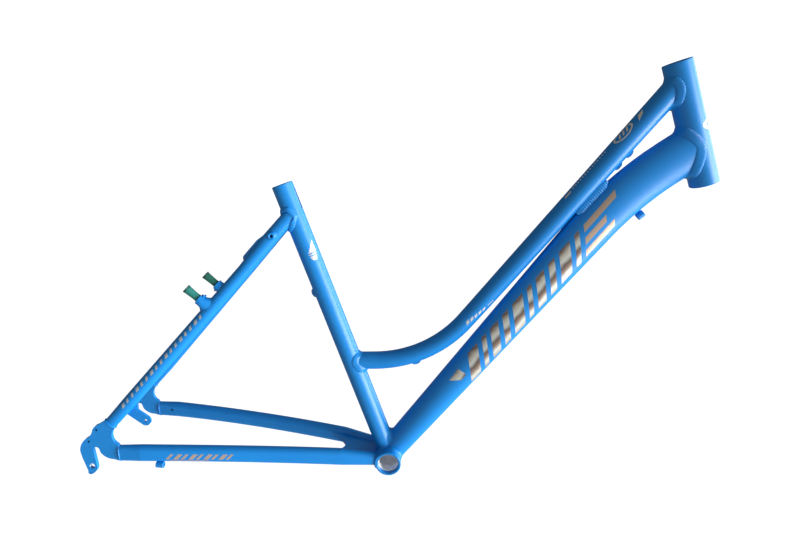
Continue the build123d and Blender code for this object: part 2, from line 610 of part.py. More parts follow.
# Export ---------------------------------------------------------------------------------------
pieces = {
    "bottom_bracket_shell": bottom_bracket_shell.part,
    "head_tube": head_tube.part,
    "seat_tube": seat_tube.part,
    "down_tube": down_tube.part,
    "top_tube": top_tube.part,
    "weld_top_down": weld_top_down.part,
    "chainstay_right": chainstay_right.part,
    "chainstay_left": chainstay_left.part,
    "seatstay_right": seatstay_right.part,
    "seatstay_left": seatstay_left.part,
    "dropout_right": dropout_right.part,
    "dropout_left": dropout_left.part,
    "brake_bridge": brake_bridge.part,
    "chainstay_bridge": chainstay_bridge.part,
    "brake_boss_right": brake_boss_right,
    "brake_boss_left": brake_boss_left,
    "brake_stud_right": brake_stud_right.part,
    "brake_stud_left": across_centre(brake_stud_right.part),
    "boss_cap_right": boss_cap_right.part,
    "boss_cap_left": across_centre(boss_cap_right.part),
    "rack_boss_right": rack_boss_right.part,
    "rack_boss_left": across_centre(rack_boss_right.part),
    "chainguard_tab": chainguard_tab.part,
    "cable_stop_down_tube": cable_stop_down_tube,
    "derailleur_cable_stop": derailleur_cable_stop,
    "cable_guide_top_tube_lower": cable_guide_top_tube_lower,
    "cable_guide_top_tube_upper": cable_guide_top_tube_upper,
    "cable_guide_swoop": cable_guide_swoop,
    "cable_guide_seat_tube": cable_guide_seat_tube,
}
os.makedirs("parts", exist_ok=True)
for label, piece in pieces.items():
    piece.label = label
    export_step(piece, f"parts/{label}.step")
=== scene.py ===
from math import ceil, cos, pi, radians, sin

import bmesh
import bpy
from mathutils import Euler, Matrix, Vector
from mathutils.bvhtree import BVHTree


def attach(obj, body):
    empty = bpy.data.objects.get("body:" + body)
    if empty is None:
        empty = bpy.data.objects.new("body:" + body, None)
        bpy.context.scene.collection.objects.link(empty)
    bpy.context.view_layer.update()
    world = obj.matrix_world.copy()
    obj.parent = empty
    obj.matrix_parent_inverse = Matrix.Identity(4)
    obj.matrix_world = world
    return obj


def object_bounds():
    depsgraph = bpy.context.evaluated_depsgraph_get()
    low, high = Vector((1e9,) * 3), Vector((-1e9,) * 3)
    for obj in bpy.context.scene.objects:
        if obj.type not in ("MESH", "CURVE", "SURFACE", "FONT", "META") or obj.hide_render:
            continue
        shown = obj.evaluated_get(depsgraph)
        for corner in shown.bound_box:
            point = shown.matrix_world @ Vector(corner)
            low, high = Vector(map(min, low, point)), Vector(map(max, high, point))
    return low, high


# Looks of a welded step-through bicycle frame: satin blue paint, ripple welds, generic foil
# graphics, bare threads and push-on dust caps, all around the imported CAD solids.
# Metres, +X forwards, +Y to the rider's left, +Z up, origin at the bottom bracket's centre.

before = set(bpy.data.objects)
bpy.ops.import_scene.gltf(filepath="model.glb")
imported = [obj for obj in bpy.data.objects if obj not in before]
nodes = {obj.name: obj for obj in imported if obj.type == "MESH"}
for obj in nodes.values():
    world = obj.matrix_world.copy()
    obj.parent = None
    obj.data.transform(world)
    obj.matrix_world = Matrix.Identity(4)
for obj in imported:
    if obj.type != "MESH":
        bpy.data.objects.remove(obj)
cad_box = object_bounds()

MM = 0.001
ORIGIN = Vector((0, 0, 0))  # centre of the bottom bracket, and foot of the seat tube
SIDE = Vector((0, 1, 0))
SIDES = ((-1, "right"), (1, "left"))


def point(x, y, z):
    """A place given in millimetres."""
    return Vector((x, y, z)) * MM


def slope(angle):
    """Unit vector in the plane of symmetry, rising forwards at this angle."""
    return Vector((cos(radians(angle)), 0, sin(radians(angle))))


def mirrored(place, side):
    """The place on the right (-1) or the left (+1) side, given on the right."""
    return Vector((place.x, -side * place.y, place.z))


# Dimensions shared with the CAD ---------------------------------------------------------------
TUBE_ANGLE = 108  # seat tube and head tube
SEAT_AXIS = slope(TUBE_ANGLE)
HEAD_FOOT = point(470.9, 0, 437.2)
HEAD_LENGTH = 177.5 * MM
HEAD_RADIUS = 20.5 * MM
HEAD_TOP = HEAD_FOOT + SEAT_AXIS * HEAD_LENGTH
BRACKET_BORE = 16.9 * MM
BRACKET_HALF = 34 * MM
TOP_JOINT = HEAD_TOP - SEAT_AXIS * 26 * MM
TOP_UP = slope(49.5)
DOWN_FOOT = point(-2, 0, -0.6)
DOWN_UP = slope(50.2)
DOWN_HEAD = slope(33)
DOWN_JOINT = HEAD_FOOT + SEAT_AXIS * 58.2 * MM
STAY_TOP = point(-131.7, -9.4, 405.4)  # right seat stay
STAY_FOOT = point(-421.2, -70.5, 98.2)
STAY_RUN = (STAY_FOOT - STAY_TOP).normalized()
UP_STAY = Vector((-STAY_RUN.x, 0, -STAY_RUN.z)).normalized()
STUD = Vector((-UP_STAY.z, 0, UP_STAY.x))  # the brake studs point up and backwards
CHAIN_FRONT = point(-8, -21.5, 2)
CHAIN_SECOND = point(-75, -32.5, 14.2)
CHAIN_END = point(-414, -70.5, 47.4)
HANGER = point(-460.5, -70.5, 25.8)
EYELETS = [point(-444.3, -70.5, 88.4), point(-459.4, -70.5, 68.7)]
RACK_BOSS = point(-161.2, -29, 376.8)
BOSS_ROOT = point(-258.7, -39, 270.7)  # right brake boss, at the stay's axis

# Half the width and half the height of each tube where it is welded.
TOP_REAR_SECTION = (13.9 * MM, 13.9 * MM)
TOP_FRONT_SECTION = (16.2 * MM, 16.2 * MM)
DOWN_HEAD_SECTION = (20.1 * MM, 32.6 * MM)
DOWN_FOOT_SECTION = (19.5 * MM, 21.3 * MM)
SEAT_SECTION = (15.9 * MM, 15.9 * MM)
CHAIN_FRONT_SECTION = (8.1 * MM, 10.6 * MM)
CHAIN_END_SECTION = (4.9 * MM, 12.3 * MM)
STAY_TOP_SECTION = (8.7 * MM, 10.8 * MM)
STAY_FOOT_SECTION = (4.3 * MM, 9.0 * MM)
BOSS_SECTION = (8.5 * MM, 11.2 * MM)
RACK_SECTION = (5.6 * MM, 5.6 * MM)


# Materials ------------------------------------------------------------------------------------
# Noise scales are in blotches per metre, or thereabouts.
class Nodes:
    """Short calls for building a material's nodes."""

    def __init__(self, name):
        self.material = bpy.data.materials.new(name)
        self.material.use_nodes = True
        self.tree = self.material.node_tree
        self.shader = self.tree.nodes["Principled BSDF"]
        self.place = self.add("ShaderNodeTexCoord").outputs["Object"]

    def add(self, kind, **settings):
        node = self.tree.nodes.new(kind)
        for key, value in settings.items():
            setattr(node, key, value)
        return node

    def join(self, source, target):
        if isinstance(source, bpy.types.NodeSocket):
            self.tree.links.new(source, target)
        else:
            target.default_value = source

    def math(self, operation, *values, clamp=False):
        node = self.add("ShaderNodeMath", operation=operation, use_clamp=clamp)
        for value, socket in zip(values, node.inputs):
            self.join(value, socket)
        return node.outputs[0]

    def vector(self, operation, *values):
        node = self.add("ShaderNodeVectorMath", operation=operation)
        for value, socket in zip(values, node.inputs):
            self.join(value, socket)
        return node.outputs["Value" if operation in ("LENGTH", "DOT_PRODUCT") else "Vector"]

    def noise(self, scale, detail=3.0, roughness=0.5, stretch=None):
        node = self.add("ShaderNodeTexNoise")
        node.inputs["Scale"].default_value = scale
        node.inputs["Detail"].default_value = detail
        node.inputs["Roughness"].default_value = roughness
        place = self.place
        if stretch:
            place = self.vector("MULTIPLY", place, stretch)
        self.join(place, node.inputs["Vector"])
        return node.outputs["Fac"]

    def ramp(self, factor, stops):
        node = self.add("ShaderNodeValToRGB")
        elements = node.color_ramp.elements
        while len(elements) < len(stops):
            elements.new(0.5)
        for element, (position, colour) in zip(elements, stops):
            element.position = position
            element.color = (*colour, 1)
        self.join(factor, node.inputs["Fac"])
        return node.outputs["Color"]

    def mix(self, factor, first, second):
        node = self.add("ShaderNodeMix", data_type="RGBA")
        self.join(factor, node.inputs["Factor"])
        self.join(first if isinstance(first, bpy.types.NodeSocket) else (*first, 1), node.inputs["A"])
        self.join(second if isinstance(second, bpy.types.NodeSocket) else (*second, 1), node.inputs["B"])
        return node.outputs["Result"]

    def span(self, value, low, high, out_low=0.0, out_high=1.0):
        node = self.add("ShaderNodeMapRange")
        for socket, number in zip(node.inputs[1:5], (low, high, out_low, out_high)):
            socket.default_value = number
        self.join(value, node.inputs["Value"])
        return node.outputs["Result"]

    def bump(self, height, strength, distance):
        node = self.add("ShaderNodeBump")
        node.inputs["Strength"].default_value = strength
        node.inputs["Distance"].default_value = distance
        self.join(height, node.inputs["Height"])
        return node.outputs["Normal"]

    def axis_distance(self, centre, axis):
        """Distance from a line, in metres."""
        offset = self.vector("SUBTRACT", self.place, tuple(centre))
        return self.vector("LENGTH", self.vector("CROSS_PRODUCT", offset, tuple(axis.normalized())))

    def set(self, **values):
        for key, value in values.items():
            self.join(value, self.shader.inputs[key.replace("_", " ")])


PAINT = (0.003, 0.272, 0.78)
PAINT_DEEP = (0.002, 0.252, 0.74)
PAINT_PALE = (0.03, 0.34, 0.84)  # on worn edges
BARE_LIGHT = (1.0, 1.0, 1.0)
BARE_DARK = (0.90, 0.90, 0.92)


def paint(name, bore=None):
    """Satin powder coat with a faint orange peel.

    A bore (centre, axis, radius, half length) is bare metal.
    """
    n = Nodes(name)
    cloud = n.noise(9, detail=3)
    colour = n.mix(n.span(cloud, 0.3, 0.7), PAINT_DEEP, PAINT)
    edge = n.add("ShaderNodeNewGeometry").outputs["Pointiness"]
    worn = n.math("MULTIPLY", n.span(edge, 0.53, 0.62), n.span(n.noise(260), 0.4, 0.65), clamp=True)
    colour = n.mix(n.math("MULTIPLY", worn, 0.3), colour, PAINT_PALE)
    rough = n.span(n.noise(40, detail=4), 0.3, 0.7, 0.33, 0.38)
    peel = n.bump(n.noise(700, detail=2), 0.05, 0.0002)
    metallic = 0.0
    if bore:
        centre, axis, radius, half_length = bore
        offset = n.vector("SUBTRACT", n.place, tuple(centre))
        reach = n.math("ABSOLUTE", n.vector("DOT_PRODUCT", offset, tuple(axis)))
        inside = n.math("LESS_THAN", n.axis_distance(centre, axis), radius)
        bare = n.math("MULTIPLY", inside, n.math("LESS_THAN", reach, half_length))
        brushed = n.mix(n.noise(900, stretch=(1, 6, 1)), BARE_DARK, BARE_LIGHT)
        colour = n.mix(bare, colour, brushed)
        metallic = n.math("MULTIPLY", bare, 0.2)
    n.set(Base_Color=colour, Roughness=rough, Metallic=metallic, Normal=peel)
    n.set(Specular_IOR_Level=0.6)
    return n.material


def bare_metal(name, light, dark, roughness, grain):
    """Machined metal with fine turning marks."""
    n = Nodes(name)
    marks = n.noise(grain, detail=6, roughness=0.7)
    n.set(Base_Color=n.mix(marks, dark, light), Metallic=1.0)
    n.set(Roughness=n.span(marks, 0.3, 0.7, roughness - 0.06, roughness + 0.08))
    n.set(Normal=n.bump(marks, 0.12, 0.0001))
    return n.material


def foil(name, centre, run, length, stops, roughness=0.33):
    """Printed metal foil whose colour changes in soft light and dark bands along a direction: painted
    reflection over the print's colours.
    """
    n = Nodes(name)
    offset = n.vector("SUBTRACT", n.place, tuple(centre))
    along = n.vector("DOT_PRODUCT", offset, tuple(run))
    wander = n.math("MULTIPLY", n.math("SUBTRACT", n.noise(45, detail=2), 0.5), 0.22)
    share = n.math("ADD", n.math("DIVIDE", along, length), n.math("ADD", wander, 0.5))
    # Light and dark bands along run: painted reflection.
    colour = n.ramp(share, stops)
    grain = n.noise(1500, detail=2)
    n.set(Base_Color=n.mix(n.math("MULTIPLY", grain, 0.18), colour, (0.95, 0.9, 0.82)))
    n.set(Metallic=0.45, Roughness=n.span(grain, 0.3, 0.7, roughness - 0.05, roughness + 0.07))
    n.set(Normal=n.bump(grain, 0.06, 0.00008))
    return n.material


CAP_LIP = (42.6 * MM, 43.8 * MM)  # the cap darkens here, from the boss's root along the stud
# Painted shade at the cap's foot, where it meets the boss, from the boss's root along the stud.
CAP_FOOT_SHADE = (24.5 * MM, 22.5 * MM)


def soft_plastic(name, base, dark, centre):
    """Slightly translucent moulded plastic, darker at the lip, and with painted shade at the foot where the
    cap meets the boss.
    """
    n = Nodes(name)
    offset = n.vector("SUBTRACT", n.place, tuple(centre))
    height = n.vector("DOT_PRODUCT", offset, tuple(STUD))
    rim = n.span(height, *CAP_LIP)
    # Painted shade at the foot, where the cap meets the boss.
    foot = n.span(height, *CAP_FOOT_SHADE)
    shade = n.math("MAXIMUM", rim, foot)
    mottle = n.mix(n.noise(180, detail=3), base, tuple(0.82 * c for c in base))
    n.set(Base_Color=n.mix(n.math("MULTIPLY", shade, 0.75), mottle, dark))
    n.set(Roughness=n.span(n.noise(300), 0.3, 0.7, 0.42, 0.55), Subsurface_Weight=0.12)
    n.set(Subsurface_Radius=(0.004, 0.008, 0.006), Subsurface_Scale=0.3)
    n.set(Normal=n.bump(n.noise(700, detail=2), 0.12, 0.0002))
    return n.material


blue = paint("blue_paint")
bracket_paint = paint("bracket_paint", (ORIGIN, SIDE, BRACKET_BORE + 0.5 * MM, 27 * MM))
head_paint = paint("head_paint", (HEAD_FOOT + SEAT_AXIS * HEAD_LENGTH / 2, SEAT_AXIS, 17.4 * MM, 80 * MM))
seat_paint = paint("seat_paint", (ORIGIN, SEAT_AXIS, 14.3 * MM, 468 * MM))
steel = bare_metal("stud_steel", (0.75, 0.75, 0.77), (0.5, 0.5, 0.52), 0.3, 1200)
# Bare steel for the hanger's thread, made darker and brownish as painted shade inside the hole.
hanger_metal_painted_shade = bare_metal("hanger_metal_painted_shade", (0.42, 0.40, 0.38), (0.22, 0.21, 0.20), 0.35, 900)
# Near-black threads in the rack boss and eyelets: painted shade for the dark inside of the small holes.
thread_painted_shade = bare_metal("thread_painted_shade", (0.07, 0.07, 0.08), (0.025, 0.025, 0.03), 0.45, 900)
cap_near = soft_plastic("cap_near", (0.030, 0.27, 0.235), (0.003, 0.045, 0.035), BOSS_ROOT)
# The left cap is the same plastic as the right one in darker colours: painted shade on the far side.
cap_far = soft_plastic("cap_far", (0.020, 0.18, 0.125), (0.003, 0.035, 0.02), BOSS_ROOT)

special = {
    "bottom_bracket_shell": bracket_paint,
    "head_tube": head_paint,
    "seat_tube": seat_paint,
    "brake_stud_right": steel,
    "brake_stud_left": steel,
    "boss_cap_right": cap_near,
    "boss_cap_left": cap_far,
}
for name, node in nodes.items():
    finish = special.get(name, blue)
    for slot in node.material_slots:
        slot.material = finish


# Pieces ---------------------------------------------------------------------------------------
SHARP = radians(50)  # edges steeper than this stay sharp


def piece_from(name, mesh, material, smooth=True):
    """Turns a finished bmesh into a piece that rides on the frame."""
    bmesh.ops.recalc_face_normals(mesh, faces=mesh.faces)
    for edge in mesh.edges:
        if edge.is_manifold and edge.calc_face_angle() > SHARP:
            edge.smooth = False
    data = bpy.data.meshes.new(name)
    mesh.to_mesh(data)
    mesh.free()
    for face in data.polygons:
        face.use_smooth = smooth
    piece = bpy.data.objects.new(name, data)
    bpy.context.scene.collection.objects.link(piece)
    data.materials.append(material)
    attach(piece, "frame")
    return piece


def surface_of(names):
    """One search tree over several CAD nodes."""
    corners, faces = [], []
    for name in names:
        start = len(corners)
        corners += [vertex.co.copy() for vertex in nodes[name].data.vertices]
        faces += [[start + i for i in face.vertices] for face in nodes[name].data.polygons]
    return BVHTree.FromPolygons(corners, faces)


def sweep_mesh(mesh, rings, closed):
    """Joins rings of points into a tube, closed on itself or capped at both ends."""
    rows = [[mesh.verts.new(p) for p in ring] for ring in rings]
    count = len(rows[0])
    pairs = list(zip(rows, rows[1:]))
    if closed:
        pairs.append((rows[-1], rows[0]))
    for row, following in pairs:
        for i in range(count):
            j = (i + 1) % count
            mesh.faces.new((row[i], row[j], following[j], following[i]))
    if not closed:
        mesh.faces.new(rows[0][::-1])
        mesh.faces.new(rows[-1])


# Welds ----------------------------------------------------------------------------------------
RIPPLE = 2.3 * MM  # length of one ripple of the bead
FINE_RIPPLE = 2.0 * MM  # on the small beads at the dropouts
RIPPLE_STEPS = 6
BEAD_SIDES = 15
SEAM_POINTS = 96
RING_POINTS = 64
# Shares of the weld's size.
BEAD_HEIGHT = 0.17
RIPPLE_HEIGHT = 0.10
RIPPLE_WIDTH = 0.12
FILLET_HOLLOW = 0.22
HOST_GAIN = 0.25  # a bead reaches further onto the host than a fillet does
GUEST_LOSS = 0.30  # and less far up the tube
SINK = 0.05  # a weld's edges go this far below the surface
END_SIZE = 0.05  # of a weld that stops short of a ring, at its very ends
END_RISE = 6
# A bead starts where the tube's wall faces this much to the side, and is whole a little further on.
BEAD_FROM = 0.45
BEAD_SPAN = 0.35
RIPPLE_BOW = 0.35  # how far a ripple bows forwards in its middle, in ripples


def ripple_height(phase):
    """Height of the bead's ripples, 0 to 1, this many ripples along it."""
    return sin(pi * (phase % 1.0)) ** 0.6


def bead_rings(seam, size, closed, ripple=RIPPLE, beads="sides", tree=None):
    """Rings of a weld along a seam of (place, normal of the host, normal of the tube).

    A bead is flat on top with a rippled edge on the host; a fillet is smooth and hollow. With
    "sides" it is a bead at the sides of the frame and a fillet in the plane of symmetry.
    """
    places = [entry[0] for entry in seam]
    count = len(places)
    lengths = [0.0]
    for i in range(1, count + (1 if closed else 0)):
        lengths.append(lengths[-1] + (places[i % count] - places[i - 1]).length)
    total = lengths[-1]
    waves = max(3, round(total / ripple))
    steps = waves * RIPPLE_STEPS
    rings = []
    last = 0
    full = size
    for k in range(steps if closed else steps + 1):
        reach = total * k / steps
        ends = min(1.0, END_SIZE + END_RISE * k / steps, END_SIZE + END_RISE * (1 - k / steps))
        size = full if closed else full * ends
        while last + 1 < len(lengths) - 1 and lengths[last + 1] < reach:
            last += 1
        share = (reach - lengths[last]) / max(lengths[last + 1] - lengths[last], 1e-9)
        here, there = seam[last], seam[(last + 1) % count]
        place, host, guest = (a.lerp(b, share) for a, b in zip(here, there))
        host.normalize()
        guest.normalize()
        out_host = (guest - host * guest.dot(host)).normalized()
        out_guest = (host - guest * host.dot(guest)).normalized()
        middle = (out_host + out_guest).normalized()
        sideways = min(1.0, max(0.0, (abs(guest.dot(SIDE)) - BEAD_FROM) / BEAD_SPAN))
        beady = {"all": 1.0, "none": 0.0, "sides": sideways}[beads]
        leg_host = size * (1.0 + HOST_GAIN * beady)
        leg_guest = size * (1.0 - GUEST_LOSS * beady)
        edge = place + out_host * leg_host
        settle = tree.find_nearest(edge)[0] - edge if tree else Vector()
        ring = [place - middle * size * 0.5]
        for j in range(BEAD_SIDES):
            turn = j / (BEAD_SIDES - 1)
            bow = sin(pi * turn)
            plateau = 1 - abs(2 * turn - 1) ** 5
            crest = ripple_height(k / RIPPLE_STEPS + RIPPLE_BOW * bow)
            flat = out_host * leg_host * (1 - turn) + out_guest * leg_guest * turn
            hollow = -FILLET_HOLLOW * bow * (1 - beady)
            bead = beady * plateau * (BEAD_HEIGHT + RIPPLE_HEIGHT * crest * (1 - turn) ** 1.5)
            spread = out_host * size * RIPPLE_WIDTH * beady * crest * (1 - turn) ** 2
            sink = middle * size * (SINK + SINK * beady) * (1 - bow)
            ring.append(place + flat + spread + settle * (1 - turn) + middle * size * (hollow + bead) - sink)
        rings.append(ring)
    return rings


def seam_between(tree, centre, run, half_width, half_height, across=SIDE, power=2.0, reach=0.3, blunt=False):
    """Where a tube of this section, sent along run, meets the surface.

    A power of 2 makes the section an ellipse, and a higher one squares it. A blunt tube ends
    beside the surface where it misses it, and the seam follows its end.
    """
    run = run.normalized()
    across = (across - run * across.dot(run)).normalized()
    upward = run.cross(across).normalized()
    seam = []
    for i in range(SEAM_POINTS):
        angle = 2 * pi * i / SEAM_POINTS
        c, s = cos(angle), sin(angle)
        flat = (abs(c) ** power + abs(s) ** power) ** (-1 / power)
        offset = across * half_width * c * flat + upward * half_height * s * flat
        normal = across * c / half_width * abs(c * flat) ** (power - 2)
        normal += upward * s / half_height * abs(s * flat) ** (power - 2)
        normal.normalize()
        hit, facing, _, _ = tree.ray_cast(centre + offset, run, reach)
        if hit is None and blunt:
            end = centre + offset + run * reach
            hit = tree.find_nearest(end)[0]
            facing = (end - hit).normalized()
        elif hit is None:
            seam.append(None)
            continue
        elif facing.dot(run) > 0:
            facing = -facing
        if blunt:
            normal = (normal + run * 2.5 * max(0.0, facing.dot(normal)) ** 2).normalized()
        seam.append((hit, facing, normal))
    return seam


def stretches(seam):
    """Splits a seam into unbroken stretches; the second value says whether it is a whole ring."""
    if None not in seam:
        return [(seam, True)]
    start = seam.index(None)
    turned = seam[start:] + seam[:start]
    found, run = [], []
    for entry in turned + [None]:
        if entry is None:
            if len(run) > 5:
                found.append((run, False))
            run = []
        else:
            run.append(entry)
    return found


def smoothed(seam, closed, passes=3):
    """Evens out the normals where the seam crosses from one host to another."""
    count = len(seam)
    for _ in range(passes):
        fresh = []
        for i, (place, host, guest) in enumerate(seam):
            before = seam[(i - 1) % count] if closed or i > 0 else seam[i]
            after = seam[(i + 1) % count] if closed or i < count - 1 else seam[i]
            fresh.append((
                place * 0.5 + (before[0] + after[0]) * 0.25,
                (host * 2 + before[1] + after[1]).normalized(),
                (guest * 2 + before[2] + after[2]).normalized(),
            ))
        seam = fresh
    return seam


def weld(name, hosts, centre, run, half_width, half_height, size, beads="sides", **section):
    """A weld all round a tube, where it meets the host nodes."""
    tree = surface_of(hosts)
    seam = seam_between(tree, centre, run, half_width, half_height, **section)
    mesh = bmesh.new()
    for stretch, closed in stretches(seam):
        rings = bead_rings(smoothed(stretch, closed), size, closed, beads=beads, tree=tree)
        sweep_mesh(mesh, rings, closed)
    return piece_from(name, mesh, blue)


def both_sides(name, hosts, centre, run, *sizes, across=SIDE, **section):
    """The same weld on the right and on the left; host names ending in _ get the side."""
    for side, label in SIDES:
        sided = [host + label if host.endswith("_") else host for host in hosts]
        start = mirrored(centre, side)
        weld(f"{name}_{label}", sided, start, mirrored(run, side), *sizes,
             across=mirrored(across, side), **section)


weld("weld_top_seat", ["seat_tube"], point(0, 0, 166.9), slope(180), *TOP_REAR_SECTION, 6.0 * MM)
weld("weld_top_head", ["head_tube"], TOP_JOINT - TOP_UP * 0.06, TOP_UP, *TOP_FRONT_SECTION, 7.0 * MM)
weld("weld_down_head", ["head_tube"], DOWN_JOINT - DOWN_HEAD * 0.07, DOWN_HEAD,
     *DOWN_HEAD_SECTION, 8.0 * MM)
weld("weld_down_bracket", ["bottom_bracket_shell"], DOWN_FOOT + DOWN_UP * 0.085, -DOWN_UP,
     *DOWN_FOOT_SECTION, 4.0 * MM)
weld("weld_down_seat", ["seat_tube"], DOWN_FOOT + DOWN_UP * 0.085, -DOWN_UP,
     *DOWN_FOOT_SECTION, 8.0 * MM, beads="none", reach=0.085)
weld("weld_seat_bracket", ["bottom_bracket_shell"], SEAT_AXIS * 0.06, -SEAT_AXIS,
     *SEAT_SECTION, 3.5 * MM, beads="none")
both_sides("weld_chainstay_front", ["bottom_bracket_shell", "seat_tube", "down_tube"],
           CHAIN_SECOND, CHAIN_FRONT - CHAIN_SECOND, *CHAIN_FRONT_SECTION, 4.2 * MM, power=3.0)
both_sides("weld_seatstay_top", ["seat_tube"], STAY_TOP + STAY_RUN * 0.03 + STUD * 1.6 * MM, -STAY_RUN,
           *STAY_TOP_SECTION, 5.0 * MM, reach=0.03, blunt=True, beads="all")
both_sides("weld_brake_boss", ["seatstay_"], BOSS_ROOT + STUD * 26 * MM, -STUD,
           *BOSS_SECTION, 3.0 * MM, reach=0.03, beads="none")
both_sides("weld_rack_boss", ["seatstay_"], RACK_BOSS, SIDE, *RACK_SECTION, 1.6 * MM,
           across=Vector((1, 0, 0)), reach=0.03, beads="none")

# The long weld between the top tube and the down tube: coarse ripples on both flanks.
LONG_START = point(290, 0, 400.9)
LONG_END = point(325.3, 0, 442.8)
LONG_RIPPLES = 18
LONG_STEPS = LONG_RIPPLES * RIPPLE_STEPS
LONG_OVERRUN = 8 * MM
LONG_OFFSET = 8.6 * MM  # from the plane of symmetry
long_run = (LONG_END - LONG_START).normalized()
long_up = SIDE.cross(long_run)
long_reach = (LONG_END - LONG_START).length + LONG_OVERRUN
for side, label in SIDES:
    mesh = bmesh.new()
    rings = []
    for k in range(LONG_STEPS + 1):
        share = k / LONG_STEPS
        crest = ripple_height(k / RIPPLE_STEPS)
        taper = min(1.0, 5 * share + 0.35, 5 * (1 - share) + 0.35)
        middle = LONG_START.lerp(LONG_END, 0.5) + long_run * (share - 0.5) * long_reach
        middle += SIDE * side * LONG_OFFSET
        ring = [middle - SIDE * side * 4 * MM]
        for j in range(BEAD_SIDES):
            angle = pi * (j / (BEAD_SIDES - 1) - 0.5)
            depth = (2.6 + 0.9 * crest) * MM * taper
            height = (7.6 + 0.5 * crest) * MM * taper
            ring.append(middle + SIDE * side * depth * cos(angle) + long_up * height * sin(angle))
        rings.append(ring)
    sweep_mesh(mesh, rings, False)
    piece_from(f"weld_long_{label}", mesh, blue)


def ring_weld(name, centre, run, half_width, half_height, size):
    """A low bead round the end of a stay, where the dropout plate goes in."""
    run = run.normalized()
    across = (SIDE - run * SIDE.dot(run)).normalized()
    upward = run.cross(across).normalized()
    seam = []
    for i in range(RING_POINTS):
        angle = 2 * pi * i / RING_POINTS
        outward = across * cos(angle) / half_width + upward * sin(angle) / half_height
        place = centre + across * half_width * cos(angle) + upward * half_height * sin(angle)
        seam.append((place - run * size * 0.2, -run, outward.normalized()))
    mesh = bmesh.new()
    sweep_mesh(mesh, bead_rings(seam, size, True, FINE_RIPPLE, "all"), True)
    return piece_from(name, mesh, blue)


END_BEAD = 1.5 * MM
for side, label in SIDES:
    ring_weld(f"weld_seatstay_foot_{label}", mirrored(STAY_FOOT, side), -UP_STAY,
              *STAY_FOOT_SECTION, END_BEAD)
    ring_weld(f"weld_chainstay_end_{label}", mirrored(CHAIN_END, side), Vector((-1, 0, 0)),
              *CHAIN_END_SECTION, END_BEAD)


# Threads --------------------------------------------------------------------------------------
THREAD_STEPS = 48  # per turn
THREAD_ROOT = 0.12 * MM  # how far the ridge reaches into the wall
THREAD_HALF = 0.42  # half the ridge's width, as a share of the pitch


def thread(name, centre, axis, radius, depth, pitch, height, material):
    """A helical ridge in a hole, from a face inwards."""
    axis = axis.normalized()
    first = axis.orthogonal().normalized()
    second = axis.cross(first)
    steps = ceil(depth / pitch * THREAD_STEPS)
    rings = []
    for k in range(steps + 1):
        angle = 2 * pi * k / THREAD_STEPS
        outward = first * cos(angle) + second * sin(angle)
        middle = centre + axis * (pitch * k / THREAD_STEPS) + outward * radius
        fade = min(1.0, k / THREAD_STEPS, (steps - k) / THREAD_STEPS)
        rings.append([
            middle + outward * THREAD_ROOT - axis * pitch * THREAD_HALF,
            middle - outward * height * fade,
            middle + outward * THREAD_ROOT + axis * pitch * THREAD_HALF,
        ])
    mesh = bmesh.new()
    sweep_mesh(mesh, rings, False)
    return piece_from(name, mesh, material, smooth=False)


BRACKET_PITCH = 25.4 / 24 * MM
BRACKET_DEPTH = 22 * MM
BRACKET_CHAMFER = 1.4 * MM
BRACKET_RIDGE = 0.32 * MM
M5_CORE = 2.1 * MM
M5_PITCH = 0.8 * MM
M5_RIDGE = 0.15 * MM
for side, label in SIDES:
    face = SIDE * side * (BRACKET_HALF - BRACKET_CHAMFER)
    thread(f"bracket_thread_{label}", face, -SIDE * side, BRACKET_BORE,
           BRACKET_DEPTH, BRACKET_PITCH, BRACKET_RIDGE, bracket_paint)
    thread(f"rack_thread_{label}", mirrored(RACK_BOSS + SIDE * 1.5 * MM, side), -SIDE * side,
           M5_CORE, 6 * MM, M5_PITCH, M5_RIDGE, thread_painted_shade)
    for i, hole in enumerate(EYELETS):
        thread(f"eyelet_thread_{label}_{i}", mirrored(hole, side) + SIDE * side * 2.4 * MM, -SIDE * side,
               M5_CORE, 4.8 * MM, M5_PITCH, M5_RIDGE, thread_painted_shade)
thread("hanger_thread", HANGER - SIDE * 2.3 * MM, SIDE, 4.5 * MM, 4.6 * MM, 1.0 * MM, 0.25 * MM,
       hanger_metal_painted_shade)


# Graphics -------------------------------------------------------------------------------------
# Abstract foil shapes laid on the tubes. Each is drawn flat, in millimetres along and across the
# tube, and then pressed onto the tube's surface.
FOIL_LIFT = 0.10 * MM  # above the surface
FOIL_ROOT = 0.10 * MM  # below it
FOIL_STEP = 2.2  # millimetres between points
FOIL_START = 0.06  # metres out from the tube's axis, where the film is sent from


def quad_grid(corners):
    """A grid of flat points between four corners."""
    a, b, c, d = (Vector(corner) for corner in corners)
    along = max(2, ceil(max((b - a).length, (c - d).length) / FOIL_STEP))
    up = max(2, ceil(max((d - a).length, (c - b).length) / FOIL_STEP))
    rows = []
    for j in range(up + 1):
        v = j / up
        left, right = a.lerp(d, v), b.lerp(c, v)
        rows.append([left.lerp(right, i / along) for i in range(along + 1)])
    return rows, False


def ring_grid(centre, inner, outer, count=32, stretch=1.0):
    """A grid of flat points in a disc or ring; stretch scales it along the tube."""
    rows = []
    for share in (0.0, 0.5, 1.0):
        radius = inner + (outer - inner) * share
        turns = [2 * pi * i / count for i in range(count)]
        ring = [Vector((radius * stretch * cos(turn), radius * sin(turn))) for turn in turns]
        rows.append([Vector(centre) + offset for offset in ring])
    return rows, True


